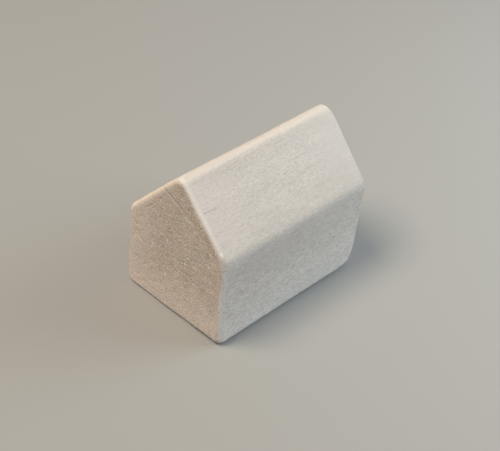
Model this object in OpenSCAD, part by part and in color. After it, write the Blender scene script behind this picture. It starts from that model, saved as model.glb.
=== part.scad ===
// House playing piece: a short length of moulded hardwood strip, sawn across at both gables, the far one
// a little out of square, tumbled until its edges are round and then given a thin coat of white paint.
// Origin: on the base, under the middle of the length and of the width.
// X runs along the ridge and the grain towards the far gable, the front wall faces -Y, Z is up.
// All sizes are in millimetres and are measured over the paint.

/* [Block] */
// Length along the ridge, gable to gable
length = 14.95; // [9:0.05:24]
// Width across the two long walls
width = 10; // [7:0.1:16]
// Angle by which the far gable was sawn out of square, in degrees: the ridge ends up longer than the base
far_lean = 3.4; // [0:0.1:8]

/* [House profile] */
// Height of the front wall, up to the corner where its roof slope starts
front_eave_h = 7.7; // [4:0.1:10]
// Height of the rear wall, a little lower on this moulding
rear_eave_h = 7.1; // [4:0.1:10]
// Height of the ridge, where the two slopes would meet in a sharp edge
ridge_h = 12.6; // [11:0.05:18]
// Distance of the ridge from the middle of the width, towards the rear
ridge_shift = -0.2; // [-1.5:0.05:1.5]

/* [Rounded edges] */
// Radius along the two bottom edges
base_r = 0.65; // [0.4:0.05:1.5]
// Radius along the two eaves
eave_r = 1.2; // [0.4:0.05:2]
// Radius along the ridge
ridge_r = 0.8; // [0.4:0.05:1.5]
// Radius round the sawn edge of each gable
gable_r = 0.25; // [0.15:0.01:0.35]

/* [Paint] */
// Thickness of the paint film
coat_t = 0.08; // [0.05:0.01:0.12]

/* [Hidden] */
// Facets of a full turn about a long edge
edge_fn = 48;
// Facets of a full turn about a gable's edge
gable_fn = 24;

// The five corners of the gable as sharp points [y, z], each with the radius that rounds it
profile = [
    [[-width / 2, 0], base_r],
    [[width / 2, 0], base_r],
    [[width / 2, rear_eave_h], eave_r],
    [[ridge_shift, ridge_h], ridge_r],
    [[-width / 2, front_eave_h], eave_r]
];
corner_count = len(profile);
// Place of the ridge among those corners
ridge_corner = 3;

function unit(v) = v / norm(v);

// Sharp point of a corner, with the count going round the profile
function corner_point(i) = profile[(i + corner_count) % corner_count][0];

// Centre of the arc of radius r that touches both sides of corner i
function arc_centre(i, r) =
    let (
        to_last = unit(corner_point(i - 1) - corner_point(i)),
        to_next = unit(corner_point(i + 1) - corner_point(i)),
        half_angle = acos(to_last * to_next) / 2
    )
    corner_point(i) + unit(to_last + to_next) * r / sin(half_angle);

// Height at which the flat of a gable ends under the ridge, where the length is measured
gable_top = arc_centre(ridge_corner, ridge_r)[1] + ridge_r - gable_r;

// Ring about X at one end, -1 or 1: its outside is the corner's arc, its quarter-round rim the gable's edge
module corner_ring(end, corner_r, inset) {
    rotate([0, end * 90, 0])
        rotate_extrude($fn = edge_fn)
            translate([corner_r - gable_r, 0])
                intersection() {
                    circle(gable_r - inset, $fn = gable_fn);
                    square(gable_r);
                }
}

// Leans what is drawn at the far end, end 1, about the top of its gable
module saw_lean(end) {
    slope = end > 0 ? tan(far_lean) : 0;
    multmatrix([
        [1, 0, slope, -slope * gable_top],
        [0, 1, 0, 0],
        [0, 0, 1, 0],
        [0, 0, 0, 1]
    ])
        children();
}

// The whole house form, drawn in evenly by inset on every side
module house(inset = 0) {
    hull()
        for (end = [-1, 1], i = [0 : corner_count - 1]) {
            corner_r = profile[i][1];
            centre = arc_centre(i, corner_r);
            saw_lean(end)
                translate([end * (length / 2 - gable_r), centre[0], centre[1]])
                    corner_ring(end, corner_r, inset);
        }
}

// Block of close-grained hardwood under the paint
module wood_block() {
    color("burlywood")
        house(coat_t);
}

// White paint film, a closed skin of even thickness all round the block
module paint_coat() {
    color("whitesmoke")
        difference() {
            house();
            house(coat_t);
        }
}

wood_block();
paint_coat();
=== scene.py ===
# %% [markdown]
# # A wooden house playing piece
# The object is a block of close-grained hardwood as long as a fingernail. A strip is moulded to the house
# profile along its grain, sawn across at both gables, tumbled until its edges are round, and dipped in
# thin white paint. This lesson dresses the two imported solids, the block and its coat, as the photograph
# shows them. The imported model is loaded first, because the length and width of the house and the thickness
# of its paint are read from it.

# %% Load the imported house
import math

import bpy
import numpy as np
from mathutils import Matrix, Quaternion, Vector


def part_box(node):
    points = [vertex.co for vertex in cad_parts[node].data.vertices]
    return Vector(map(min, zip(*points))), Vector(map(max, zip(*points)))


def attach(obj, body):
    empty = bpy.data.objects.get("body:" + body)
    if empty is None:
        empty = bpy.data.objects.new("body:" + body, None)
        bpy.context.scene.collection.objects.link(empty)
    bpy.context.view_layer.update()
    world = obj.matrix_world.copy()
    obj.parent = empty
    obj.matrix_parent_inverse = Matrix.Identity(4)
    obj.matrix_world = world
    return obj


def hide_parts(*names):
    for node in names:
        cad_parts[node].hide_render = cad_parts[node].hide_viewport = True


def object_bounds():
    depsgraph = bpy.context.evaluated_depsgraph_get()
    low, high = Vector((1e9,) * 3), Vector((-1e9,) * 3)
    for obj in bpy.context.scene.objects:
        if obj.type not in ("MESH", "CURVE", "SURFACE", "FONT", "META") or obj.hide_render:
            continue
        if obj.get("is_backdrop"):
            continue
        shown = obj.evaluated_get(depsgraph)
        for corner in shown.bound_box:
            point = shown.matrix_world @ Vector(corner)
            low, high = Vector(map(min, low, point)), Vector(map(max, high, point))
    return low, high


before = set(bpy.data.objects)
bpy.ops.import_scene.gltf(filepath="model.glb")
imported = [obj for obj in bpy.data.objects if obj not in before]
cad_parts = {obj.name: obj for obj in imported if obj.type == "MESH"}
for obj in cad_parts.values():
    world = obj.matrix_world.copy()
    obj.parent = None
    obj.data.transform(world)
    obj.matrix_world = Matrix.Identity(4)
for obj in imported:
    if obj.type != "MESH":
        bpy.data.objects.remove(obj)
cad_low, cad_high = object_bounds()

MM = 0.001  # metres in a millimetre; shapes below are worked out in millimetres
block_length, block_width, block_height = ((cad_high - cad_low) / MM)
print(f"packed house: {block_length:.2f} x {block_width:.2f} x {block_height:.2f} mm")

# %% [markdown]
# ## Camera
# The camera could be placed by eye, but the straight edges of the house give its place exactly: the
# vanishing points of the ridge and of the upright edges fix the focal length and the angles, and the width
# of the gable fixes the distance. So the camera is kept as angles round a point on the house.

# %% Camera
IMAGE_WIDTH_PX = 500
FOCAL_PX = 1193.3
VIEW_AZIMUTH_DEG = -47.676
VIEW_ELEVATION_DEG = 38.928
VIEW_ROLL_DEG = 4.694
AIM_POINT = Vector((-0.533, -0.711, 5.079))
AIM_DISTANCE = 88.325
NEAREST_SEEN = 5.0


def add_object(name, data):
    """Makes an object of that data at the origin and puts it in the scene."""
    made = bpy.data.objects.new(name, data)
    bpy.context.scene.collection.objects.link(made)
    return made


def make_photo_camera():
    """Places the camera at AIM_POINT plus AIM_DISTANCE times the direction of the two view angles,
    turned to look back along it, then rolled about its own axis."""
    azimuth, elevation = math.radians(VIEW_AZIMUTH_DEG), math.radians(VIEW_ELEVATION_DEG)
    level = math.cos(elevation)
    towards = Vector((math.sin(azimuth) * level, -math.cos(azimuth) * level, math.sin(elevation)))
    camera = add_object("photo_camera", bpy.data.cameras.new("photo_camera"))
    camera.data.lens = FOCAL_PX / IMAGE_WIDTH_PX * camera.data.sensor_width
    camera.data.clip_start = NEAREST_SEEN * MM
    camera.location = (AIM_POINT + towards * AIM_DISTANCE) * MM
    roll = Quaternion((0, 0, 1), math.radians(VIEW_ROLL_DEG))
    camera.rotation_mode = "QUATERNION"
    camera.rotation_quaternion = (-towards).to_track_quat("-Z", "Y") @ roll
    bpy.context.scene.camera = camera
    return camera


photo_camera = make_photo_camera()
print(f"camera: {photo_camera.data.lens:.1f} mm lens, {AIM_DISTANCE:.0f} mm from the house")

# %% [markdown]
# ## House profile
# The moulding cutter gives the strip its section: two upright walls, two roof slopes and a flat base, with
# every corner an arc. An outline of many hand-placed points would show flats, so the outline is worked
# out: each arc's centre lies on its corner's bisector, and the straight sides are what joins one arc to
# the next.

# %% House profile
FRONT_EAVE_HEIGHT = 7.7
REAR_EAVE_HEIGHT = 7.1
RIDGE_HEIGHT = 12.6
RIDGE_SHIFT = -0.2
BASE_RADIUS = 0.65
EAVE_RADIUS = 1.2
RIDGE_RADIUS = 0.8
ARC_POINTS = 40
FINE_STEP = 0.1
BASE_STEP = 0.25
# On the base, the heights of a side's two ends add up to less than this
BASE_BAND = 0.1 * BASE_RADIUS

half_width = block_width / 2
SHARP_CORNERS = np.array([
    (-half_width, 0.0),
    (half_width, 0.0),
    (half_width, REAR_EAVE_HEIGHT),
    (RIDGE_SHIFT, RIDGE_HEIGHT),
    (-half_width, FRONT_EAVE_HEIGHT),
])
CORNER_RADII = np.array([BASE_RADIUS, BASE_RADIUS, EAVE_RADIUS, RIDGE_RADIUS, EAVE_RADIUS])


def unit(vectors):
    """Each row divided by its own length."""
    return vectors / np.linalg.norm(vectors, axis=-1, keepdims=True)


def rounded_outline(corners, radii):
    """Points and outward angles round a closed outline: corner i turns through an arc of radius r whose
    centre is r / sin(half the corner's angle) along the bisector, from one side's normal to the next's."""
    to_last = unit(np.roll(corners, 1, axis=0) - corners)
    to_next = unit(np.roll(corners, -1, axis=0) - corners)
    half_angle = np.arccos((to_last * to_next).sum(axis=1)) / 2
    centres = corners + unit(to_last + to_next) * (radii / np.sin(half_angle))[:, None]
    first_angle = np.arctan2(to_last[:, 0], -to_last[:, 1])
    turn = np.pi - 2 * half_angle
    angles = first_angle[:, None] + turn[:, None] * np.linspace(0, 1, ARC_POINTS)
    arcs = centres[:, None] + radii[:, None, None] * np.stack([np.cos(angles), np.sin(angles)], axis=-1)
    return arcs.reshape(-1, 2), np.unwrap(angles.ravel())


def spaced_outline(corners, radii, fine_step, base_step):
    """The outline walked at even steps: the distance along it is divided by the wished step there, which is
    coarser on the base, and the running sum is cut into equal parts. Returns points and unit normals."""
    points, angles = rounded_outline(corners, radii)
    points = np.vstack([points, points[:1]])
    angles = np.append(angles, angles[0] + 2 * np.pi)
    sides = np.linalg.norm(np.diff(points, axis=0), axis=1)
    on_base = points[:-1, 1] + points[1:, 1] < BASE_BAND
    steps = np.append(0, np.cumsum(sides / np.where(on_base, base_step, fine_step)))
    walk = np.linspace(0, steps[-1], int(steps[-1]), endpoint=False)
    spaced = np.column_stack([np.interp(walk, steps, points[:, axis]) for axis in (0, 1)])
    facing = np.interp(walk, steps, angles)
    return spaced, np.column_stack([np.cos(facing), np.sin(facing)])


outline, outline_normals = spaced_outline(SHARP_CORNERS, CORNER_RADII, FINE_STEP, BASE_STEP)
print(f"profile: {len(outline)} points, {outline[:, 1].max():.2f} mm high over the rounded ridge")

# %% [markdown]
# ## From profile to block
# The closed skin of the block is one grid. Across it runs the profile. Along it runs a path that starts in
# the middle of the near gable, spreads out to its edge, turns the sawn edge in a quarter circle, goes down
# the length and comes back to the middle of the far gable. Two discs and a tube could be joined instead,
# but one grid has no seams where the paint would have to be matched. The tumbler wears corners faster than
# edges, so the quarter circle has a larger radius near some corners.

# %% Edges of the gables
GABLE_RADIUS = 0.25
NEAR_END, FAR_END = -1, 1
FRONT_BASE, REAR_BASE, REAR_EAVE, RIDGE, FRONT_EAVE = range(5)
# Corners worn rounder: which end, which corner of the profile, the added radius and how far it spreads.
# A radius below zero is a corner that stayed sharper
WORN_CORNERS = [
    (NEAR_END, FRONT_BASE, 0.37, 5.0),
    (NEAR_END, FRONT_EAVE, 0.2, 0.8),
    (NEAR_END, REAR_BASE, 0.1, 0.8),
    (NEAR_END, REAR_EAVE, 0.17, 7.0),
    (FAR_END, FRONT_BASE, 0.3, 1.1),
    (FAR_END, FRONT_EAVE, -0.13, 2.0),
    (FAR_END, RIDGE, 0.3, 1.3),
    (FAR_END, REAR_BASE, 0.25, 1.1),
    (FAR_END, REAR_EAVE, 0.2, 1.0),
]


def edge_radii(end, outline):
    """Radius of one gable's edge at each point of the profile: GABLE_RADIUS, and for each worn corner of
    that end the added radius times a bell curve of the distance to it."""
    radii = np.full(len(outline), GABLE_RADIUS)
    for worn_end, corner, added, reach in WORN_CORNERS:
        if worn_end == end:
            distance = np.linalg.norm(outline - SHARP_CORNERS[corner], axis=1)
            radii += added * np.exp(-(distance / reach) ** 2)
    return radii


print(f"gable edges: radius {GABLE_RADIUS} to {edge_radii(NEAR_END, outline).max():.2f} mm on the near end")

# %% Skin of the block
GABLE_MIDDLE = np.array([0.0, 6.0])
CAP_ROWS, EDGE_ROWS, LENGTH_STEP = 66, 7, 0.13


def gable_rows(end, outline, normals, cap_rows, edge_rows):
    """Rows of one end, from the gable's middle outwards: points, normals and the distance past the rim of
    the flat. Across the flat the drawn-in profile is spread evenly; then a quarter circle of the edge's
    radius r leads from the gable's normal to the profile's, at r sin(angle) outwards and
    r (1 - cos(angle)) back."""
    radii = edge_radii(end, outline)
    drawn_in = outline - radii[:, None] * normals
    spread = np.append(np.arange(1, cap_rows + 1) / cap_rows, np.ones(edge_rows))[:, None]
    angle = np.append(np.zeros(cap_rows), np.linspace(0, np.pi / 2, edge_rows + 1)[1:])[:, None]
    outwards = (radii * np.sin(angle))[..., None] * normals
    section = GABLE_MIDDLE + spread[..., None] * (drawn_in - GABLE_MIDDLE) + outwards
    place = end * (block_length / 2 - radii * (1 - np.cos(angle)))
    facing = end * np.cos(angle) * np.ones(len(outline))
    past_rim = radii * angle - (1 - spread) * np.linalg.norm(drawn_in - GABLE_MIDDLE, axis=1)
    sideways = np.sin(angle)[..., None] * normals
    return np.dstack([place, section]), np.dstack([facing, sideways]), past_rim


def skin_grid(fine_step, base_step, cap_rows, edge_rows, length_step):
    """The whole skin as (rows, columns) arrays of points, normals and distance past the rim: the near
    gable, straight lines from its edge to the far gable's edge, and the far gable inwards again. Along the
    lines the distance is the one to the nearer rim."""
    outline, normals = spaced_outline(SHARP_CORNERS, CORNER_RADII, fine_step, base_step)
    near = gable_rows(NEAR_END, outline, normals, cap_rows, edge_rows)
    far = [rows[::-1] for rows in gable_rows(FAR_END, outline, normals, cap_rows, edge_rows)]
    near_points, near_normals, near_rim = near
    far_points, _, far_rim = far
    run = far_points[0] - near_points[-1]
    share = np.linspace(0, 1, int(block_length / length_step))[1:-1, None]
    tube = near_points[-1] + share[..., None] * run
    tube_normals = np.broadcast_to(near_normals[-1], tube.shape)
    from_near = near_rim[-1] + share * run[:, 0]
    from_far = far_rim[0] + (1 - share) * run[:, 0]
    middle = (tube, tube_normals, np.minimum(from_near, from_far))
    return [np.concatenate(parts) for parts in zip(near, middle, far)]


skin, skin_normals, past_rim = skin_grid(FINE_STEP, BASE_STEP, CAP_ROWS, EDGE_ROWS, LENGTH_STEP)
print(f"skin: {skin.shape[0]} rows of {skin.shape[1]} points")

# %% [markdown]
# ## Saw cut out of square
# No two of these pieces are alike. The far gable of this one was sawn a little out of square, so it leans
# outwards at the top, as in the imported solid. The gable alone could be tilted, but then the long faces
# would have to be trimmed to it, so the whole skin is sheared, more and more towards that end. Four
# corners of that end were knocked, the front one at the base the most. The rear wall isn't quite upright
# either: its foot stands out a little.

# %% Saw cut out of square
FAR_LEAN_DEG = 3.4
gable_top = outline[:, 1].max() - GABLE_RADIUS
# How far the foot of the rear wall stands out, and the height at which that wall is in its true place
REAR_FOOT, REAR_TRUE_HEIGHT = 0.15, 6.0
# Corners knocked off the far end: which corner of the profile, how deep and how wide
KNOCKED_CORNERS = [
    (FRONT_BASE, 0.16, 0.95),
    (RIDGE, 0.04, 0.8),
    (FRONT_EAVE, 0.05, 0.6),
    (REAR_BASE, 0.06, 0.8),
]


def lean_far_gable(points):
    """Moves each point along X by the tangent of the lean times its height over the top of the gable's
    flat, times how far along the block the point is, from 0 at the near gable to 1 at the far one."""
    along = points[..., 0] / block_length + 0.5
    lean = math.tan(math.radians(FAR_LEAN_DEG)) * (points[..., 2] - gable_top)
    return points + np.stack([along * lean, 0 * lean, 0 * lean], axis=-1)


def lean_rear_wall(points):
    """Moves each point along Y by REAR_FOOT times one minus its height over REAR_TRUE_HEIGHT, times the
    square of how near it is to the rear wall, from 0 in the middle of the width to 1."""
    nearness = np.clip(points[..., 1] / half_width, 0, 1) ** 2
    lean = REAR_FOOT * (1 - points[..., 2] / REAR_TRUE_HEIGHT)
    return points + np.stack([0 * lean, nearness * lean, 0 * lean], axis=-1)


def knock_corners(points, normals):
    """Draws points in along their normals by the depth of each knock times a bell curve of the distance."""
    depth = np.zeros(points.shape[:2])
    for corner, deep, wide in KNOCKED_CORNERS:
        sharp = np.array([block_length / 2, *SHARP_CORNERS[corner]])
        depth += deep * np.exp(-(np.linalg.norm(points - sharp, axis=-1) / wide) ** 2)
    return points - depth[..., None] * normals


shaped = lean_rear_wall(lean_far_gable(knock_corners(skin, skin_normals)))
print(f"shaped skin: moved by up to {np.abs(shaped - skin).max():.2f} mm")

# %% [markdown]
# ## Grain in relief
# Wood is a bundle of tubes that run along the ridge. Cut along, they show as fine streaks; cut across, as
# pits. Thin paint hides neither. One noise that is long on X and narrow on Y and Z draws streaks on the
# long faces and dots on the gables, and round pits are cut into the gables as well. The coarse part of the
# grain is cut into the mesh, so that it shows on the edges too, and the finest part is left to the
# material.

# %% Noise fields
HASH_A, HASH_B, HASH_C, HASH_D = 374761393, 668265263, 2246822519, 3266489917
WORD, HALF_WORD = 0xFFFFFFFF, 0x7FFFFFFF
# How much of its cell a pit may wander over, and the smallest pit's share of the largest one's size
PIT_WANDER, PIT_SMALLEST = 0.7, 0.6


def lattice_values(cells, seed):
    """A fixed random value from -1 to 1 for each whole-number cell, by mixing the bits of its place."""
    x, y, z = (cells[..., k].astype(np.int64) for k in range(3))
    mixed = (x * HASH_A + y * HASH_B + z * HASH_C + seed * HASH_D) & WORD
    mixed = ((mixed ^ (mixed >> 15)) * HASH_C) & WORD
    mixed = ((mixed ^ (mixed >> 13)) * HASH_D) & WORD
    return (mixed ^ (mixed >> 16)) / HALF_WORD - 1


def smooth_noise(points, cell_size, seed):
    """Lattice values of the eight corners of each point's cell, blended by a smooth step on each axis."""
    places = points / np.array(cell_size)
    cells = np.floor(places)
    along = places - cells
    along = along * along * (3 - 2 * along)
    total = np.zeros(points.shape[:-1])
    for corner in np.ndindex(2, 2, 2):
        weight = np.where(corner, along, 1 - along).prod(axis=-1)
        total += weight * lattice_values(cells + np.array(corner), seed)
    return total


def pit_field(points, spacing, size, seed):
    """Round pits on the gables: each square cell of Y and Z holds one pit at a random place, and the depth
    falls from a random share of 1 at its middle to 0 at its rim."""
    flat = np.concatenate([np.sign(points[..., :1]), points[..., 1:] / spacing], axis=-1)
    home = np.floor(flat)
    deepest = np.zeros(points.shape[:-1])
    for step_y, step_z in np.ndindex(3, 3):
        cell = home + np.array([0, step_y - 1, step_z - 1])
        jitter = np.stack([lattice_values(cell, seed), lattice_values(cell, seed + 1)], axis=-1) / 2
        middle = cell[..., 1:] + 0.5 + PIT_WANDER * jitter
        strength = np.clip(lattice_values(cell, seed + 2), 0, 1)
        rim = size / spacing * (PIT_SMALLEST + (1 - PIT_SMALLEST) * strength)
        distance = np.linalg.norm(flat[..., 1:] - middle, axis=-1) / rim
        deepest = np.maximum(deepest, strength * np.clip(1 - distance ** 2, 0, 1))
    return deepest


print("noise fields: smooth noise and round pits")

# %% Relief of the coat
GRAIN_CELL, GRAIN_HEIGHT, GRAIN_SEED = (0.9, 0.24, 0.24), 0.004, 11
SWELL_CELL, SWELL_HEIGHT, SWELL_SEED = (4.0, 1.3, 1.3), 0.02, 12
PIT_SPACING, PIT_SIZE, PIT_DEPTH, PIT_SEED = 0.34, 0.13, 0.05, 13
FUZZ_CELL, FUZZ_HEIGHT, FUZZ_SEED = (0.35, 0.35, 0.35), 0.012, 16
EDGE_WAVE_CELL, EDGE_WAVE_HEIGHT, EDGE_WAVE_SEED = (1.1, 1.1, 1.1), 0.03, 17
EDGE_MIDDLE, EDGE_REACH = 0.25, 0.3
FLOOR_FADE = 0.3


def coat_relief(points, past_rim):
    """Height of the paint over the smooth skin: streaks and a slow swell all over, pits inside the gables'
    rims, and a ragged line that follows the gables' edges as a bell curve of the distance past the rim.
    All of it fades out towards the base."""
    streaks = GRAIN_HEIGHT * smooth_noise(points, GRAIN_CELL, GRAIN_SEED)
    swell = SWELL_HEIGHT * smooth_noise(points, SWELL_CELL, SWELL_SEED)
    inside_rim = np.clip(-past_rim / PIT_SPACING, 0, 1)
    pits = -PIT_DEPTH * pit_field(points, PIT_SPACING, PIT_SIZE, PIT_SEED) * inside_rim
    ragged = FUZZ_HEIGHT * smooth_noise(points, FUZZ_CELL, FUZZ_SEED)
    ragged += EDGE_WAVE_HEIGHT * smooth_noise(points, EDGE_WAVE_CELL, EDGE_WAVE_SEED)
    ragged *= np.exp(-((past_rim - EDGE_MIDDLE) / EDGE_REACH) ** 2)
    return (streaks + swell + pits + ragged) * np.clip(points[..., 2] / FLOOR_FADE, 0, 1)


relief = coat_relief(shaped, past_rim)
coated = shaped + relief[..., None] * skin_normals
print(f"relief: from {relief.min():.3f} to {relief.max():.3f} mm")

# %% [markdown]
# ## Mesh pieces
# A grid of points becomes a mesh when neighbouring rows are joined by four-sided faces. The profile closes
# on itself, so the last column joins the first, and each gable's middle is one point with a fan round it.
# The mesh also carries two values that the paint needs.

# %% Mesh builder
def skin_mesh(name, points, past_rim, on_edge):
    """Makes a closed mesh object of the grid: quads between rows, and a fan from each gable's middle, whose
    point is the mean of the first or last row. Stores how far each point lies past the gable's rim, and how
    near it is to the middle of the rounded edge."""
    rows, columns, _ = points.shape
    middles = points[[0, -1]].mean(axis=1)
    vertices = np.vstack([points.reshape(-1, 3), middles]) * MM
    index = np.arange(rows * columns).reshape(rows, columns)
    beside = np.roll(index, -1, axis=1)
    quads = np.stack([index[:-1], index[1:], beside[1:], beside[:-1]], axis=-1).reshape(-1, 4)
    near_fan = np.column_stack([np.full(columns, rows * columns), index[0], beside[0]])
    far_fan = np.column_stack([np.full(columns, rows * columns + 1), beside[-1], index[-1]])
    fans = np.vstack([near_fan, far_fan])
    corners = np.concatenate([quads.ravel(), fans.ravel()])
    sizes = np.concatenate([np.full(len(quads), 4), np.full(len(fans), 3)])
    mesh = bpy.data.meshes.new(name)
    mesh.vertices.add(len(vertices))
    mesh.vertices.foreach_set("co", vertices.ravel())
    mesh.loops.add(len(corners))
    mesh.loops.foreach_set("vertex_index", corners)
    mesh.polygons.add(len(sizes))
    mesh.polygons.foreach_set("loop_start", np.concatenate([[0], np.cumsum(sizes)[:-1]]))
    mesh.polygons.foreach_set("use_smooth", np.ones(len(sizes), dtype=bool))
    mesh.update(calc_edges=True)
    mesh.validate()
    for label, values in (("past_rim", past_rim), ("on_edge", on_edge)):
        carried = mesh.attributes.new(label, "FLOAT", "POINT")
        at_points = np.append(values.ravel(), values[[0, -1]].min(axis=1))
        carried.data.foreach_set("value", at_points.astype(np.float32))
    return add_object(name, mesh)


def edge_share(normals):
    """1 in the middle of a gable's rounded edge and 0 on the flats beside it: twice the product of the
    normal's part along the block and its part across."""
    return 2 * np.abs(normals[..., 0]) * np.linalg.norm(normals[..., 1:], axis=-1)


print("mesh builder: faces between rows, and a fan in the middle of each gable")

# %% Painted coat
# How much more slowly the paint's border fades along the rear slope and on the front wall's upright edge
REAR_SOFTNESS, WALL_SOFTNESS = 0.7, 0.5
# Heights on that upright edge, and how much further in the paint reaches there
WALL_HEIGHTS, WALL_REACH = (1.3, 4.3, 6.5), (0.02, 0.26, 0.17)
# The front wall's normals point to the front by more than this
STEEPEST_ROOF = 0.75


def soak_distance(past_rim, outline, normals):
    """The distance past the rim as the paint sees it. On the front wall, told by a normal that points to
    the front, WALL_REACH is added by height. There, and at the rear slope, told by a normal that points
    both up and to the rear, the distance is also made smaller, so that the paint's border is softer."""
    rear = np.clip(2 * normals[:, 0] * normals[:, 1], 0, 1)
    front = np.clip(-normals[:, 0] - STEEPEST_ROOF, 0, 1) / (1 - STEEPEST_ROOF)
    further = np.interp(outline[:, 1], WALL_HEIGHTS, WALL_REACH) * front
    return (past_rim + further) * (1 - REAR_SOFTNESS * rear - WALL_SOFTNESS * front)


house_coat = skin_mesh(
    "house_coat", coated, soak_distance(past_rim, outline, outline_normals), edge_share(skin_normals)
)
print(f"house_coat: {len(house_coat.data.vertices)} points, {len(house_coat.data.polygons)} faces")

# %% [markdown]
# ## Block under the paint
# The bare block is the same skin drawn in by the thickness of the paint. It hides inside the coat, so a
# coarser grid is enough, but it follows the same lean and wear, or it would break through the coat at a
# worn corner.

# %% Block under the paint
coat_thickness = (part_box("wood_block")[0].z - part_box("paint_coat")[0].z) / MM
BLOCK_STEP, BLOCK_BASE_STEP = 0.3, 0.5
BLOCK_CAP_ROWS, BLOCK_EDGE_ROWS = 16, 4
RELIEF_ROOM = 0.03

block_skin, block_normals, block_rim = skin_grid(
    BLOCK_STEP, BLOCK_BASE_STEP, BLOCK_CAP_ROWS, BLOCK_EDGE_ROWS, BLOCK_STEP
)
block_points = lean_rear_wall(lean_far_gable(knock_corners(block_skin, block_normals)))
block_points = block_points - (coat_thickness + RELIEF_ROOM) * block_normals
house_block = skin_mesh("house_block", block_points, block_rim, edge_share(block_normals))
print(f"house_block: {len(house_block.data.polygons)} faces, {coat_thickness:.2f} mm under the paint")

# %% [markdown]
# ## Shared patterns
# Paint and bare wood show the same fibres, pores, rays and year rings, so each of these is a node group
# that any material can place with its own sizes. All of them read the object's own coordinates in
# millimetres, with the grain along X, so that a streak on the roof meets its own pit on the gable. A small
# crack or a speck of dirt is a group as well: the distance to a line between two points.

# %% Node helpers
def place_node(tree, kind, **settings):
    """Adds a node of that kind to the tree and sets the named properties on it."""
    made = tree.nodes.new(kind)
    for key, value in settings.items():
        setattr(made, key, value)
    return made


def fill(socket, value):
    """Gives an input a number, a vector or an opaque colour, or links an output to it."""
    if isinstance(value, tuple) and socket.type == "RGBA":
        value = (*value, 1.0)
    if isinstance(value, (int, float, tuple)):
        socket.default_value = value
    else:
        socket.id_data.links.new(value, socket)


def fill_node(kind, values, **settings):
    """Adds a node to the tree that holds the outputs among some values, and fills its first inputs with
    the values in order. Returns the node's outputs."""
    tree = next(value.id_data for value in values if hasattr(value, "id_data"))
    made = place_node(tree, kind, **settings)
    for socket, value in zip(made.inputs, values):
        fill(socket, value)
    return made.outputs


def calculate(operation, *values):
    """A Math node: each value is a number or an output. Returns its result."""
    return fill_node("ShaderNodeMath", values, operation=operation)[0]


def vector_math(operation, *values):
    """A Vector Math node: each value is a tuple or an output. Returns its result, which is a number for a
    dot product or a distance, and otherwise a vector."""
    result = "Value" if operation in ("DOT_PRODUCT", "DISTANCE") else "Vector"
    return fill_node("ShaderNodeVectorMath", values, operation=operation)[result]


def multiply(product, *others):
    """The product of an output and other values, each a number or an output."""
    for other in others:
        product = calculate("MULTIPLY", product, other)
    return product


def add_up(*weighted):
    """The sum of outputs, each given with its weight."""
    total, *parts = [multiply(value, weight) for weight, value in weighted]
    for part in parts:
        total = calculate("ADD", total, part)
    return total


def remap(value, start, end, at_start, at_end, steps="LINEAR"):
    """Maps start..end of a value to at_start..at_end, held at both ends, evenly or by a smooth step."""
    values = (value, start, end, at_start, at_end)
    return fill_node("ShaderNodeMapRange", values, interpolation_type=steps)[0]


def fade_out(distance, reach):
    """1 where a distance is 0, falling by a smooth step to 0 where it is reach."""
    return remap(distance, reach, 0.0, 0.0, 1.0, "SMOOTHSTEP")


print("node helpers: sums, products, vectors and ranges")

# %% Fibre, ray and ring groups
FIBRE_DETAIL, RAY_DETAIL, RING_DETAIL = 2.0, 3.0, 3.0
# Length of a ray along the grain, and of a ring along the grain and across it
RAY_LENGTH = 0.5
RING_LENGTH, RING_RUN = 12.0, 6.0


def new_group(name, inputs, output):
    """An empty shader group. inputs maps each name to its starting value, or to None for a vector; output
    is the name of its one plain value. Returns the tree with its two end nodes."""
    tree = bpy.data.node_groups.new(name, "ShaderNodeTree")
    for label, start in inputs.items():
        kind = "NodeSocketVector" if start is None else "NodeSocketFloat"
        socket = tree.interface.new_socket(label, in_out="INPUT", socket_type=kind)
        if start is not None:
            socket.default_value = start
    tree.interface.new_socket(output, in_out="OUTPUT", socket_type="NodeSocketFloat")
    return tree, place_node(tree, "NodeGroupInput"), place_node(tree, "NodeGroupOutput")


def stretched(ends, vector, sizes):
    """A vector divided by three sizes, each a number or the name of a group input."""
    size = place_node(ends.id_data, "ShaderNodeCombineXYZ")
    for socket, value in zip(size.inputs, sizes):
        fill(socket, ends.outputs[value] if isinstance(value, str) else value)
    return vector_math("DIVIDE", vector, size.outputs[0])


def make_noise_group(name, output, sizes, detail, **starts):
    """A noise from 0 to 1 whose cells have three sizes, each a number or the name of an input. With Slant
    among the inputs, it is turned about the grain by that angle first."""
    tree, ends, result = new_group(name, {"Vector": None, **starts}, output)
    vector = ends.outputs["Vector"]
    if "Slant" in starts:
        turned = place_node(tree, "ShaderNodeVectorRotate", rotation_type="X_AXIS")
        fill(turned.inputs["Vector"], vector)
        fill(turned.inputs["Angle"], ends.outputs["Slant"])
        vector = turned.outputs[0]
    vector = stretched(ends, vector, sizes)
    noise = place_node(tree, "ShaderNodeTexNoise")
    fill(noise.inputs["Vector"], vector)
    fill(noise.inputs["Scale"], 1.0)
    fill(noise.inputs["Detail"], detail)
    fill(result.inputs[output], noise.outputs["Fac"])
    return tree


# Streaks along the grain
fibre_group = make_noise_group(
    "wood_fibres", "Fibre", ("Length", "Thickness", "Thickness"), FIBRE_DETAIL, Length=1.2, Thickness=0.1
)
# Rays of the wood, which run out from the heart and are short along the grain
ray_group = make_noise_group(
    "wood_rays", "Ray", (RAY_LENGTH, "Reach", "Thickness"), RAY_DETAIL,
    Slant=0.35, Reach=0.4, Thickness=0.07,
)
# Year rings as soft bands
ring_group = make_noise_group(
    "year_rings", "Ring", (RING_LENGTH, "Width", RING_RUN), RING_DETAIL, Slant=0.6, Width=1.4
)
print("patterns:", ", ".join(tree.name for tree in (fibre_group, ray_group, ring_group)))


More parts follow.
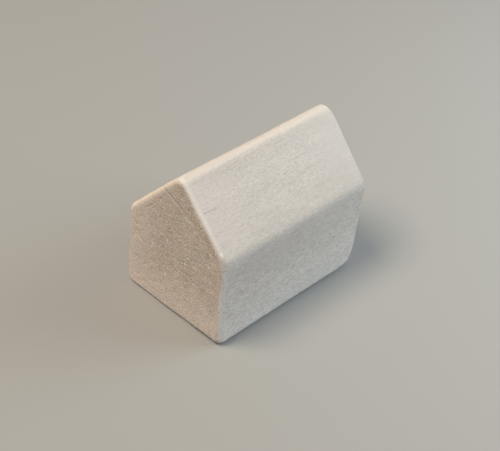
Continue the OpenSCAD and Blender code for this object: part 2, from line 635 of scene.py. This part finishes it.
# %% Pore and hairline groups
def make_pore_group():
    """Cut tubes: the distance to the nearest of scattered points in coordinates stretched along the grain,
    turned into 1 at a tube's middle and 0 outside Size; only the share Open of all tubes shows."""
    tree, ends, result = new_group(
        "wood_pores", {"Vector": None, "Length": 2.0, "Spacing": 0.25, "Size": 0.3, "Open": 0.5}, "Pore"
    )
    vector = stretched(ends, ends.outputs["Vector"], ("Length", "Spacing", "Spacing"))
    cells = place_node(tree, "ShaderNodeTexVoronoi")
    fill(cells.inputs["Vector"], vector)
    fill(cells.inputs["Scale"], 1.0)
    depth = fade_out(cells.outputs["Distance"], ends.outputs["Size"])
    pick = fill_node("ShaderNodeSeparateColor", (cells.outputs["Color"],))[0]
    shown = calculate("LESS_THAN", pick, ends.outputs["Open"])
    fill(result.inputs["Pore"], multiply(depth, shown))
    return tree


def make_hairline_group():
    """A thin mark from Start to End: the place along it is the dot product with the mark's own vector over
    its length squared, held between 0 and 1, and the mark is 1 on that line and 0 from Width away."""
    tree, ends, result = new_group(
        "hairline", {"Vector": None, "Start": None, "End": None, "Width": 0.05}, "Line"
    )
    run = vector_math("SUBTRACT", ends.outputs["End"], ends.outputs["Start"])
    reach = vector_math("SUBTRACT", ends.outputs["Vector"], ends.outputs["Start"])
    along = vector_math("DOT_PRODUCT", reach, run)
    share = calculate("DIVIDE", along, vector_math("DOT_PRODUCT", run, run))
    share = calculate("MINIMUM", calculate("MAXIMUM", share, 0.0), 1.0)
    foot = place_node(tree, "ShaderNodeVectorMath", operation="SCALE")
    fill(foot.inputs[0], run)
    fill(foot.inputs["Scale"], share)
    gap = vector_math("DISTANCE", reach, foot.outputs[0])
    fill(result.inputs["Line"], fade_out(gap, ends.outputs["Width"]))
    return tree


pore_group, hairline_group = make_pore_group(), make_hairline_group()
print("patterns:", pore_group.name, "and", hairline_group.name)

# %% [markdown]
# ## White paint
# The paint is thin and matt. On the long faces it shows the fibres as faint streaks and flecks. The end
# grain of the gables drinks it in, so the tan of the wood shows through there, with dark open pores.
# Rounded edges carry pale lines of painted highlight. Two materials could share the faces out between them,
# but the real border wanders, so the two looks are one material, blended by the distance past the rim that
# the mesh carries. The few scratches, pores and crumbs of paint that stand out on this piece are drawn at
# their photographed places.

# %% Material helpers
# For both kinds of Mix node: the inputs of the share and of the two blended values, and the output
MIX_SOCKETS = {"RGBA": ((0, 6, 7), 2), "FLOAT": ((0, 2, 3), 0)}


def new_material(name):
    """A material with a Principled shader. Returns the material, the shader and the object's own
    coordinates in millimetres."""
    material = bpy.data.materials.new(name)
    material.use_nodes = True
    tree = material.node_tree
    shader = next(node for node in tree.nodes if node.type == "BSDF_PRINCIPLED")
    metres = place_node(tree, "ShaderNodeTexCoord").outputs["Object"]
    return material, shader, vector_math("MULTIPLY", metres, (1 / MM,) * 3)


def split_axes(place):
    """The three parts of a place: along the block, across it and up."""
    return fill_node("ShaderNodeSeparateXYZ", (place,))


def use_pattern(group, vector, **values):
    """Places a shared pattern with its own sizes. Returns its one output."""
    made = place_node(vector.id_data, "ShaderNodeGroup", node_tree=group)
    for key, value in {"Vector": vector, **values}.items():
        fill(made.inputs[key], value)
    return made.outputs[0]


def blend(kind, share, first, second):
    """Mixes two colours or two plain values, each fixed or an output, by a share that is an output."""
    places, result = MIX_SOCKETS[kind]
    made = place_node(share.id_data, "ShaderNodeMix", data_type=kind)
    for place, value in zip(places, (share, first, second)):
        fill(made.inputs[place], value)
    return made.outputs[result]


def coat_over(colour, *layers):
    """A colour with layers blended over it one after another, each given by its share and its colour."""
    for share, layer in layers:
        colour = blend("RGBA", share, colour, layer)
    return colour


def centred(pattern):
    """A pattern of mean 0.5 shifted to a mean of 0, so that it neither sinks nor lifts the surface."""
    return calculate("SUBTRACT", pattern, 0.5)


def raise_surface(shader, pattern, height):
    """Lets a pattern raise and dent the shaded surface, by height in metres where the pattern is 1."""
    bump = place_node(shader.id_data, "ShaderNodeBump")
    fill(bump.inputs["Distance"], height)
    fill(bump.inputs["Height"], pattern)
    fill(shader.inputs["Normal"], bump.outputs[0])


print("material helpers: layers of colour and relief")

# %% Paint on the long faces
PAINT_WHITE = (0.73, 0.692, 0.698)
# Thinned paint in the bands, and painted shade beside the ridge, towards the eaves and at the far foot of a
# wall
PAINT_THIN_AND_SHADE = (0.647, 0.612, 0.594)
# The grain's flecks, and painted shade at the far end of the roof
PAINT_FLECK_AND_SHADE = (0.53, 0.505, 0.49)
PAINT_ROSY = (0.77, 0.715, 0.70)
# Painted warm light at the near end of the roof
PAINTED_WARM_LIGHT = (0.735, 0.668, 0.675)
# Painted light towards the base and the ends of the walls, and a painted highlight on the front wall's
# upright edge
PAINTED_LIGHT_WHITE = (0.935, 0.93, 0.93)
# Crumbs of paint, and painted highlights on the gable's arris and at the eave's corner
PAINT_EDGE_AND_HIGHLIGHT = (0.95, 0.92, 0.88)
# Painted warm light on the ridge
PAINTED_RIDGE_LIGHT = (0.83, 0.755, 0.705)
# Ranges from here on: where something starts and ends, and its strength at both.
# Ranges of height over the base in millimetres
ON_ROOF = (7.5, 8.5, 0.0, 1.0)  # the wall turns into the roof
WALL_GRAIN = (7.5, 8.5, 0.92, 0.0)  # the grain is open on the walls
LOW_GRAIN = (0.5, 4.5, 0.6, 1.0)  # the grain shows less towards the base
RIDGE_GRAIN = (12.12, 12.22, 1.0, 0.45)  # handling has rubbed the flecks away towards the ridge
BESIDE_RIDGE = (11.0, 11.9, 0.0, 0.5)  # painted shade beside the ridge
ON_RIDGE = (12.14, 12.22, 1.0, 0.0)  # and the painted shade ends on top of it
TOWARDS_EAVE = (10.5, 8.5, 0.0, 0.82)  # painted shade towards the eaves
TOWARDS_BASE = (6.1, 0.0, 0.0, 1.0)  # painted light towards the base
RIDGE_WARM_LIGHT = (12.05, 12.2, 0.0, 0.6)  # painted warm light on the ridge
WARM_LIGHT_HEIGHTS = (8.4, 9.4, 0.0, 1.0)  # the painted warm light at the roof's near end gives out towards the eave
FOOT_HEIGHTS = (3.2, 1.2, 0.0, 1.0)  # the foot of a wall
# Ranges of distance from the middle of the length
ROOF_GRAIN = (3.5, 6.0, 0.72, 0.45)  # paint fills the grain towards both ends of the roof
PAINTED_LIGHT_ENDS = (4.0, 7.2, 0.0, 0.15)  # painted light towards both ends of a wall
# Ranges of place along the block
FAR_ROOF = (3.0, 6.5, 0.0, 1.0)  # the far end of the roof
SHADED_FOOT = (-2.0, 2.0, 0.0, 0.36)  # painted shade at the far foot of a wall
WARM_LIGHT_END = (-4.0, -6.5, 0.0, 0.8)  # painted warm light towards the near end of the roof
# How much of its grain the far end of the roof keeps, and how much painted shade greys it
FAR_GRAIN = (0.0, 1.0, 1.0, 0.65)
FAR_SHADE = 0.26
# Ranges of the patterns' own values
HAIRS_SHOW = (0.4, 0.75, 0.0, 0.65)
FLECKS_SHOW = (0.4, 0.68, 0.0, 1.0)
BLOTCHES_SHOW = (0.4, 0.65, 0.0, 0.5)
BANDS_SHOW = (0.45, 0.65, 0.0, 0.25)
# Turn of the rays and rings about the grain
RAY_SLANT = 0.0


def long_face_colour(place):
    """White, thinned in flecks, along the hairlines of the grain and in soft blotches. Painted shade darkens
    it beside the ridge, towards the eaves, at the far foot of a wall and at the far end of the roof; painted
    light lightens it towards the base and the ends of the walls, and painted warm light tints the near end
    of the roof and the ridge. Returns the colour, the hairlines and the flecks."""
    hairs = use_pattern(fibre_group, place, Length=2.4, Thickness=0.1)
    flecks = use_pattern(fibre_group, place, Length=0.28, Thickness=0.11)
    blotches = use_pattern(fibre_group, place, Length=2.6, Thickness=1.1)
    bands = use_pattern(ring_group, place, Width=0.8, Slant=RAY_SLANT)
    along, _, height = split_axes(place)
    from_middle = calculate("ABSOLUTE", along)
    on_roof = remap(height, *ON_ROOF)
    on_wall = calculate("SUBTRACT", 1.0, on_roof)
    far_roof = multiply(on_roof, remap(along, *FAR_ROOF))
    roof_grain = multiply(on_roof, remap(from_middle, *ROOF_GRAIN), remap(far_roof, *FAR_GRAIN))
    grain = calculate("ADD", remap(height, *WALL_GRAIN), roof_grain)
    grain = multiply(grain, remap(height, *LOW_GRAIN), remap(height, *RIDGE_GRAIN))
    shade_beside_ridge = multiply(remap(height, *BESIDE_RIDGE), remap(height, *ON_RIDGE))
    # The first seven layers are painted shade and light; the last four are the paint's own blotches, bands,
    # hairlines and flecks
    colour = coat_over(
        PAINT_WHITE,
        (calculate("ADD", shade_beside_ridge, remap(height, *TOWARDS_EAVE)), PAINT_THIN_AND_SHADE),
        (remap(height, *TOWARDS_BASE), PAINTED_LIGHT_WHITE),
        (multiply(on_wall, remap(from_middle, *PAINTED_LIGHT_ENDS)), PAINTED_LIGHT_WHITE),
        (multiply(remap(along, *SHADED_FOOT), remap(height, *FOOT_HEIGHTS)), PAINT_THIN_AND_SHADE),
        (multiply(remap(along, *WARM_LIGHT_END), remap(height, *WARM_LIGHT_HEIGHTS)), PAINTED_WARM_LIGHT),
        (multiply(far_roof, FAR_SHADE), PAINT_FLECK_AND_SHADE),
        (remap(height, *RIDGE_WARM_LIGHT), PAINTED_RIDGE_LIGHT),
        (remap(blotches, *BLOTCHES_SHOW), PAINT_ROSY),
        (remap(bands, *BANDS_SHOW), PAINT_THIN_AND_SHADE),
        (multiply(remap(hairs, *HAIRS_SHOW), grain), PAINT_FLECK_AND_SHADE),
        (multiply(remap(flecks, *FLECKS_SHOW), grain), PAINT_FLECK_AND_SHADE),
    )
    return colour, hairs, flecks


print("long faces: white", PAINT_WHITE, "flecked with", PAINT_FLECK_AND_SHADE)

# %% Paint in the end grain
SOAKED_TAN = (0.595, 0.515, 0.44)
SOAKED_DARK = (0.27, 0.215, 0.175)
SOAKED_PALE = (0.93, 0.85, 0.765)
SOAKED_ROSY = (0.66, 0.543, 0.503)
# Paler colour of the end grain towards the base and the rear
SOAKED_LIGHTER = (0.81, 0.705, 0.65)
# Painted highlight along the rear slope
PAINTED_CREAM_HIGHLIGHT = (0.96, 0.84, 0.745)
# Ranges of height and of place across the block: the end grain gets paler
LIGHTER_AT_BASE = (4.5, 1.5, 0.0, 1.0)
LIGHTER_AT_REAR = (1.5, 4.5, 0.0, 1.0)
# How much of the grain shows where it is paler
FILLED_GRAIN = (0.0, 1.0, 1.0, 0.4)
# Direction square to the front slope, and range of distance along it: the end grain darkens
FRONT_SLOPE = (0.0, -0.714, 0.7)
DARK_AT_SLOPE = (7.9, 8.7, 0.0, 0.2)
# The same for the rear slope, along which a cream band paints a highlight
REAR_SLOPE = (0.0, 0.727, 0.687)
HIGHLIGHT_AT_SLOPE = (7.88, 8.38, 0.0, 0.78)
# Ranges of the patterns' own values
TAN_BLOTCHES = (0.4, 0.65, 0.0, 1.0)
RAYS_DARK, RAYS_PALE = (0.47, 0.35, 0.0, 0.42), (0.53, 0.65, 0.0, 0.4)
SPECKS_DARK, SPECKS_PALE = (0.46, 0.34, 0.0, 0.92), (0.54, 0.66, 0.0, 0.82)
PORES_DARK = 0.6


def end_grain_colour(place):
    """Tan with rosy blotches, paler at the base and the rear, where less of the grain shows, and darker
    under the front slope. Over that lie dark and pale rays and specks, a cream band of painted highlight
    under the rear slope, pale crumbs and dark pores. Returns the colour, the rays, the specks and the pores."""
    rays = use_pattern(ray_group, place, Slant=RAY_SLANT, Reach=0.9, Thickness=0.09)
    specks = use_pattern(fibre_group, place, Length=0.3, Thickness=0.072)
    pores = use_pattern(pore_group, place, Length=2.2, Spacing=0.26, Size=0.36, Open=0.2)
    crumbs = use_pattern(pore_group, place, Length=1.1, Spacing=0.24, Size=0.36, Open=0.2)
    blotches = use_pattern(fibre_group, place, Length=3.0, Thickness=1.6)
    _, across, height = split_axes(place)
    low = remap(height, *LIGHTER_AT_BASE)
    rear = remap(across, *LIGHTER_AT_REAR)
    to_front = vector_math("DOT_PRODUCT", place, FRONT_SLOPE)
    to_rear = vector_math("DOT_PRODUCT", place, REAR_SLOPE)
    grain = remap(calculate("MINIMUM", low, rear), *FILLED_GRAIN)
    colour = coat_over(
        SOAKED_TAN,
        (remap(blotches, *TAN_BLOTCHES), SOAKED_ROSY),
        (calculate("MAXIMUM", low, rear), SOAKED_LIGHTER),
        (remap(to_front, *DARK_AT_SLOPE), SOAKED_DARK),
        (multiply(remap(rays, *RAYS_DARK), grain), SOAKED_DARK),
        (multiply(remap(rays, *RAYS_PALE), grain), SOAKED_PALE),
        (multiply(remap(specks, *SPECKS_DARK), grain), SOAKED_DARK),
        (multiply(remap(specks, *SPECKS_PALE), grain), SOAKED_PALE),
        # painted highlight along the rear slope
        (remap(to_rear, *HIGHLIGHT_AT_SLOPE), PAINTED_CREAM_HIGHLIGHT),
        (crumbs, SOAKED_PALE),
        (multiply(pores, PORES_DARK), SOAKED_DARK),
    )
    return colour, rays, specks, pores


print("end grain: tan", SOAKED_TAN, "with dark", SOAKED_DARK, "and pale", SOAKED_PALE)

# %% Marks on this one piece
MARK_COLOUR = (0.30, 0.26, 0.22)
MARK_DEPTH = 0.014
near_gable = -block_length / 2


def on_near_gable(*marks):
    """Marks given by their places across and up, with the place of the near gable put before them."""
    return [((near_gable, *start), (near_gable, *end), width, share) for start, end, width, share in marks]


# All marks in millimetres: start, end, width and how strongly each shows.
# A crack on the roof, and a speck and two faint scratches on the front wall
FACE_DENTS = [
    ((-7.0, -2.31, 10.45), (-5.86, -2.33, 10.43), 0.11, 0.24),
    ((4.15, -5.0, 4.22), (4.21, -5.0, 4.2), 0.13, 0.95),
    ((-7.12, -4.97, 3.18), (-6.62, -5.0, 3.25), 0.1, 0.16),
    ((-6.85, -4.98, 2.64), (-6.22, -5.0, 2.66), 0.1, 0.16),
]
# A painted highlight at the front eave's near corner
EAVE_HIGHLIGHT = [((-7.2, -4.36, 8.34), (-7.2, -4.43, 8.25), 0.2, 0.8)]
# Scratches and open pores of the near gable, from the ridge down
GABLE_DENTS = on_near_gable(
    ((1.12, 10.92), (-0.39, 10.33), 0.085, 0.8),
    ((-0.39, 10.33), (-2.16, 9.51), 0.085, 0.5),
    ((-3.28, 7.84), (-3.47, 7.61), 0.11, 0.8),
    ((-1.0, 5.66), (-1.08, 5.63), 0.12, 0.7),
    ((2.31, 2.95), (2.31, 2.88), 0.11, 0.7),
)
# Lips of those scratches and crumbs of paint, in the same order
GABLE_CRUMBS = on_near_gable(
    ((1.24, 10.7), (-0.24, 10.13), 0.1, 0.5),
    ((-0.85, 9.61), (-1.97, 9.25), 0.1, 0.3),
    ((-3.6, 7.98), (-3.62, 7.92), 0.12, 0.55),
    ((-3.58, 6.78), (-3.63, 6.76), 0.12, 0.9),
    ((-1.16, 5.53), (-1.22, 5.5), 0.14, 1.0),
    ((0.17, 5.12), (-0.51, 5.15), 0.09, 0.55),
    ((4.3, 4.9), (2.5, 4.4), 0.11, 0.45),
    ((-0.54, 4.46), (-0.54, 4.4), 0.14, 1.0),
    ((0.84, 3.26), (0.84, 3.08), 0.135, 1.0),
)


def draw_marks(place, marks):
    """The sum of some marks' hairlines, each times how strongly it shows."""
    return add_up(*(
        (share, use_pattern(hairline_group, place, Start=start, End=end, Width=width))
        for start, end, width, share in marks
    ))


print(f"marks: {len(FACE_DENTS)} on the long faces, {len(GABLE_DENTS + GABLE_CRUMBS)} on the near gable")

# %% White paint
PAINT_IOR = 1.4
# Range of the hairlines' value, and the roughness at its ends
PAINT_ROUGHNESS = (0.3, 0.7, 0.82, 0.95)
# Ranges of distance past the rim: the soaked look ends, and the arris of the gable carries a painted
# highlight
SOAK_END = (0.26, 0.11, 0.0, 1.0)
ARRIS_RISE = (0.2, 0.38, 0.0, 1.0)
ARRIS_FALL = (0.42, 0.75, 0.4, 0.0)
# How far the border of the soaked look wanders
SOAK_WOBBLE = 0.09
# Range of place along the block: the painted highlight gives out towards the far gable
NEAR_HALF = (-4.0, 4.0, 1.0, 0.0)
# Range of height: it gives out from the roof down to the eave
ARRIS_HEIGHTS = (8.0, 8.5, 0.0, 1.0)
# Ranges of height and of place across the block, for a painted highlight on the front wall's upright edge
UPRIGHT_HEIGHTS = (7.6, 6.9, 0.0, 1.0)
UPRIGHT_FRONT = (-4.0, -4.5, 0.0, 1.0)
# Range of the flecks' value, which still show through that painted highlight
UPRIGHT_FLECKS = (0.42, 0.66, 1.0, 0.62)
# Heights of the relief in millimetres
FLECK_HEIGHT, HAIR_HEIGHT = -0.006, -0.006
RAY_HEIGHT, SPECK_HEIGHT, PORE_DEPTH = 0.01, 0.014, 0.012


def make_white_paint():
    """Blends the paint of the long faces, with painted highlights on its near edges, with the paint in the
    end grain by the distance past the gable's rim. The marks, among them a painted highlight at the eave, go
    over both, and patterns and marks raise and dent the surface."""
    material, shader, place = new_material("white_paint")
    face, hairs, flecks = long_face_colour(place)
    end, rays, specks, pores = end_grain_colour(place)
    wobble = use_pattern(fibre_group, place, Length=0.4, Thickness=0.25)
    past_rim, on_edge = (
        place_node(shader.id_data, "ShaderNodeAttribute", attribute_name=label).outputs["Fac"]
        for label in ("past_rim", "on_edge")
    )
    wandering = add_up((1.0, past_rim), (SOAK_WOBBLE, centred(wobble)))
    soaked = remap(wandering, *SOAK_END)
    along, across, height = split_axes(place)
    near = remap(along, *NEAR_HALF)
    arris = multiply(
        remap(wandering, *ARRIS_RISE), remap(wandering, *ARRIS_FALL), remap(height, *ARRIS_HEIGHTS), near
    )
    upright = multiply(
        remap(height, *UPRIGHT_HEIGHTS), remap(flecks, *UPRIGHT_FLECKS),
        remap(across, *UPRIGHT_FRONT), calculate("SQRT", on_edge), near,
    )
    face_dents, eave_highlight, gable_dents, crumbs = (
        draw_marks(place, marks) for marks in (FACE_DENTS, EAVE_HIGHLIGHT, GABLE_DENTS, GABLE_CRUMBS)
    )
    # The layers of the arris, the upright edge and the spot at the eave are painted highlights
    colour = coat_over(
        face,
        (arris, PAINT_EDGE_AND_HIGHLIGHT),
        (upright, PAINTED_LIGHT_WHITE),
        (soaked, end),
        (calculate("ADD", crumbs, eave_highlight), PAINT_EDGE_AND_HIGHLIGHT),
        (calculate("ADD", face_dents, gable_dents), MARK_COLOUR),
    )
    fill(shader.inputs["Base Color"], colour)
    face_relief = add_up(
        (FLECK_HEIGHT, centred(flecks)), (HAIR_HEIGHT, centred(hairs)), (-MARK_DEPTH, face_dents)
    )
    end_relief = add_up(
        (RAY_HEIGHT, centred(rays)), (SPECK_HEIGHT, centred(specks)),
        (-PORE_DEPTH, pores), (-MARK_DEPTH, gable_dents), (MARK_DEPTH, crumbs),
    )
    raise_surface(shader, blend("FLOAT", soaked, face_relief, end_relief), MM)
    fill(shader.inputs["Roughness"], remap(hairs, *PAINT_ROUGHNESS))
    fill(shader.inputs["IOR"], PAINT_IOR)
    return material


house_coat.data.materials.append(make_white_paint())
print("white paint on", house_coat.name)

# %% [markdown]
# ## Bare hardwood
# The block itself is pale hardwood such as beech or maple. It shows only if the coat is taken off, but a
# part that is reused may lose its paint, so it gets the same fibres, pores and rings in wood colours.

# %% Bare hardwood
WOOD_PALE = (0.66, 0.48, 0.31)
WOOD_DARK = (0.46, 0.30, 0.17)
WOOD_PORE = (0.25, 0.15, 0.08)
# Ranges of the patterns' own values; the roughness goes with the fibres
RINGS_DARK = (0.35, 0.65, 0.0, 1.0)
FIBRES_DARK = (0.4, 0.7, 0.0, 0.5)
WOOD_ROUGHNESS = (0.3, 0.7, 0.65, 0.8)
WOOD_PORES_DARK = 0.7
WOOD_BUMP = 0.04


def make_bare_wood():
    """Pale wood darkened by rings and fibres, with dark pores that are also dents."""
    material, shader, place = new_material("bare_hardwood")
    fibres = use_pattern(fibre_group, place, Length=1.6, Thickness=0.1)
    rings = use_pattern(ring_group, place, Width=1.4, Slant=0.6)
    pores = use_pattern(pore_group, place, Length=2.2, Spacing=0.22, Size=0.42, Open=0.5)
    colour = coat_over(
        WOOD_PALE,
        (remap(rings, *RINGS_DARK), WOOD_DARK),
        (remap(fibres, *FIBRES_DARK), WOOD_DARK),
        (multiply(pores, WOOD_PORES_DARK), WOOD_PORE),
    )
    fill(shader.inputs["Base Color"], colour)
    raise_surface(shader, calculate("SUBTRACT", fibres, pores), WOOD_BUMP * MM)
    fill(shader.inputs["Roughness"], remap(fibres, *WOOD_ROUGHNESS))
    return material


house_block.data.materials.append(make_bare_wood())
print("bare hardwood on", house_block.name)

# %% [markdown]
# ## Tie the pieces to the frame
# Nothing on the house moves, so both pieces ride on the one body of the imported model. Each stands for the
# node of the same layer.

# %% Tie the pieces to the frame
for piece, node, finish in (
    (house_coat, "paint_coat", "white_paint"),
    (house_block, "wood_block", "timber"),
):
    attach(piece, "root")
    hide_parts(node)
    print(f"{piece.name} stands for {node}")

# %% [markdown]
# ## Floor and light
# A plain pale floor and soft light show the shape. The photograph's light is warm and comes from behind
# the house on the left, so the ridge is the brightest line, the roof slope is lit at a slant, the gable is
# raked and the front wall is in soft shade. One large warm lamp from there, a weak cool one from the front
# right and an even pale sky give the same order of tones.

# %% Floor
FLOOR_PALE = (0.41, 0.415, 0.425)
FLOOR_ROUGHNESS = 0.9
FLOOR_HALF = 600.0
# The floor lies a hair under the base, so that the two faces never fight for the same place
FLOOR_GAP = 0.01


def make_floor():
    """A flat square under the house: one face between four corners."""
    reach, under = FLOOR_HALF * MM, -FLOOR_GAP * MM
    corners = [(x * reach, y * reach, under) for x, y in ((-1, -1), (1, -1), (1, 1), (-1, 1))]
    mesh = bpy.data.meshes.new("floor")
    mesh.from_pydata(corners, [], [(0, 1, 2, 3)])
    material, shader, _ = new_material("floor_pale")
    fill(shader.inputs["Base Color"], FLOOR_PALE)
    fill(shader.inputs["Roughness"], FLOOR_ROUGHNESS)
    mesh.materials.append(material)
    return add_object("floor", mesh)


make_floor()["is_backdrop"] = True
print(f"floor: {2 * FLOOR_HALF * MM:.1f} m square")

# %% Light
# Lamps: name, direction, distance and size in millimetres, watts and colour
LAMPS = [
    ("key_lamp", Vector((-0.38, 0.19, 0.9)), 300.0, 130.0, 0.63, (1.0, 0.85, 0.635)),
    ("fill_lamp", Vector((0.7, -0.5, 0.5)), 90.0, 70.0, 0.0435, (0.86, 0.985, 0.99)),
]
SKY_COLOUR = (1.0, 1.0, 1.0)
SKY_STRENGTH = 0.28


def make_lamp(name, direction, distance, size, watts, colour):
    """A square lamp of that size, that far off in the given direction, turned to face the house."""
    lamp = add_object(name, bpy.data.lights.new(name, "AREA"))
    lamp.data.energy, lamp.data.color, lamp.data.size = watts, colour, size * MM
    lamp.location = direction.normalized() * distance * MM
    lamp.rotation_mode = "QUATERNION"
    lamp.rotation_quaternion = (-direction).to_track_quat("-Z", "Y")


for lamp in LAMPS:
    make_lamp(*lamp)
world = bpy.data.worlds.new("sky")
world.use_nodes = True
sky = world.node_tree.nodes["Background"]
fill(sky.inputs["Color"], SKY_COLOUR)
fill(sky.inputs["Strength"], SKY_STRENGTH)
bpy.context.scene.world = world
bpy.context.scene.view_settings.view_transform = "Standard"

seen_low, seen_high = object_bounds()
sizes = {"cad": [list(cad_low), list(cad_high)], "visual": [list(seen_low), list(seen_high)]}
for label, box in sizes.items():
    print(label, "box, mm:", [round(value / MM, 2) for corner in box for value in corner])
